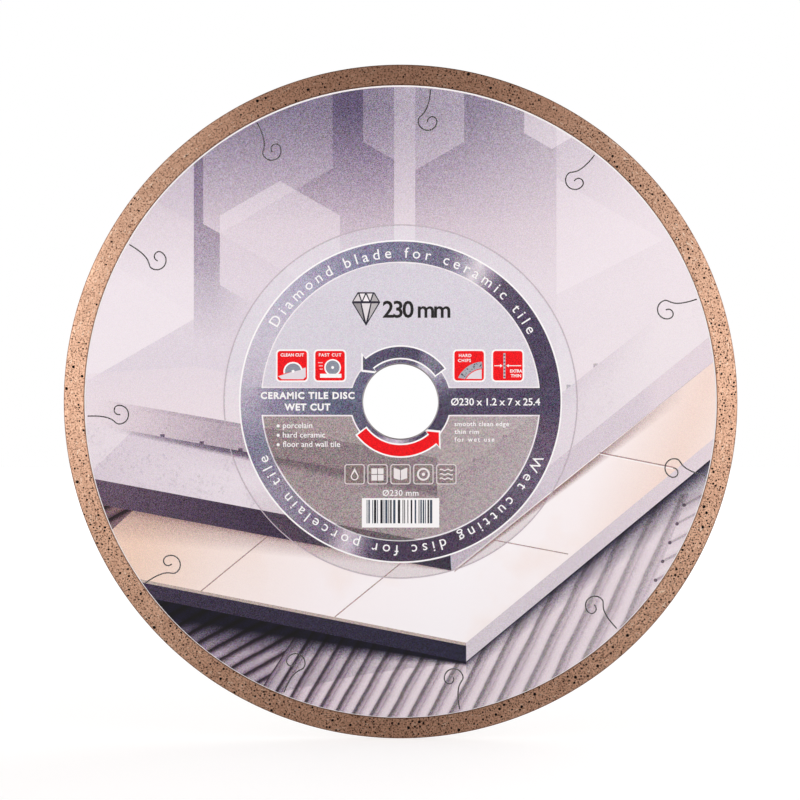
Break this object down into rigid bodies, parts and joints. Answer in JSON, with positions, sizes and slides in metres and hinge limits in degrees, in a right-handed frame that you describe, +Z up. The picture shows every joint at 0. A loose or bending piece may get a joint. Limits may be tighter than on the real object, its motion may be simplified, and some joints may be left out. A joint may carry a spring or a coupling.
{
  "type": "diamond blade",
  "caption": "Thin continuous-rim diamond cutting disc for ceramic tile: steel core with scroll slots, sintered bronze rim, printed front and clear centre label round the arbor bore.",
  "frame": {"origin": "centre of the arbor bore, at half the blade's thickness", "axes": "+Y along the arbor axis, out of the bare back; the printed front faces -Y; +Z up on the printed artwork, +X to its right as read"},
  "size_m": [0.23, 0.0012, 0.23],
  "materials": {
    "steel": "ground bare steel with circular grinding lines",
    "sintered_rim": "dull sintered bronze matrix with open pores and graphite chips, ground round its axis",
    "printed_coat": "satin full-colour print on the steel",
    "label_film": "satin printed clear film with a metallic grey ring"
  },
  "bodies": {
    "root": {"steel_core": "steel", "diamond_rim": "sintered_rim", "face_print": "printed_coat", "centre_label": "label_film"}
  },
  "joints": []
}
